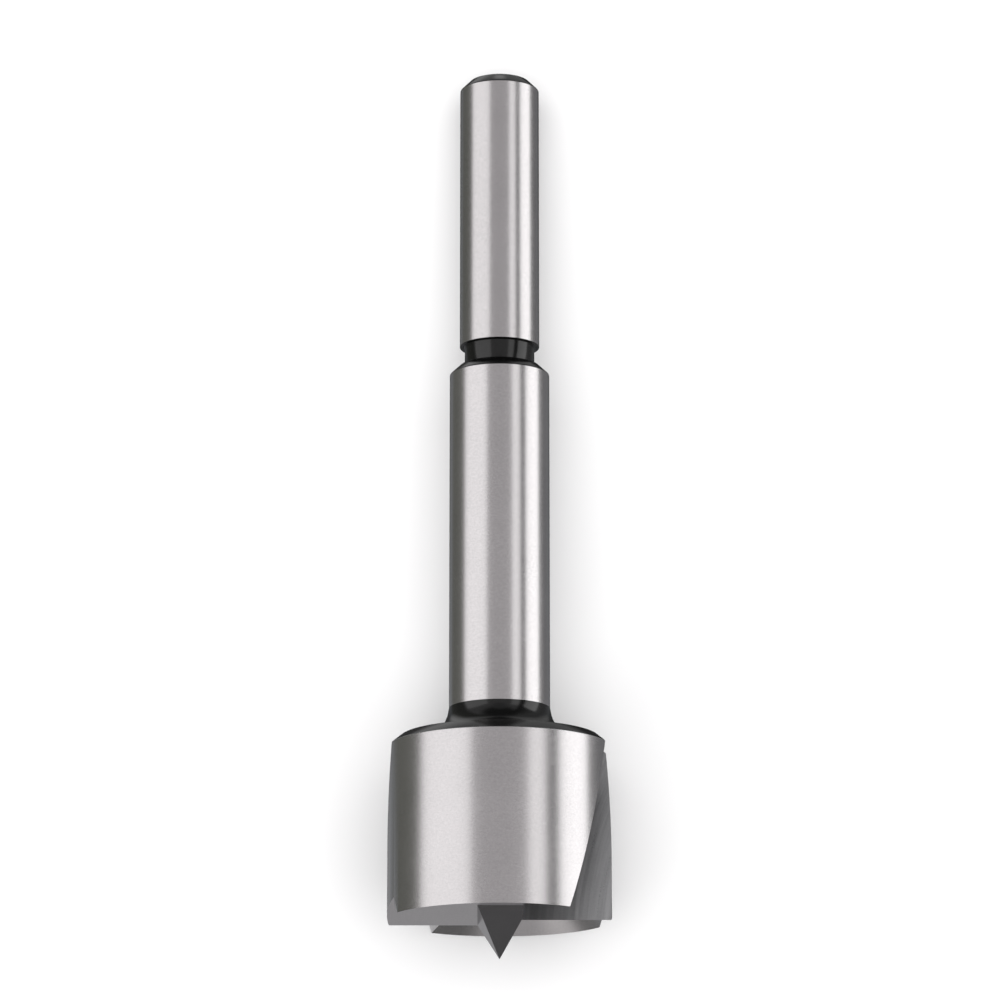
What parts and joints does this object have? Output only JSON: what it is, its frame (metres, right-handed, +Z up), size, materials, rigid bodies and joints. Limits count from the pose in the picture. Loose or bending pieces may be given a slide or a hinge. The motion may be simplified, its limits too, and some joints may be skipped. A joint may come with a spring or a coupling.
{
  "type": "forstner bit",
  "caption": "Boring bit for wood: a wide round head with cutting lips, a sharp scoring rim and a centre point, on a stepped round shank with a narrow groove.",
  "frame": {"origin": "centre of the ground it covers, lying on the top edge of its head and the end edge of its shank", "axes": "+Z up, +Y from the centre point towards the shank end, +X across the head"},
  "size_m": [0.022, 0.0898, 0.0236],
  "materials": {
    "ground_steel": "ground bright, with blackened neck, chamfers and groove"
  },
  "bodies": {
    "root": {"forstner_bit": "ground_steel"}
  },
  "joints": []
}
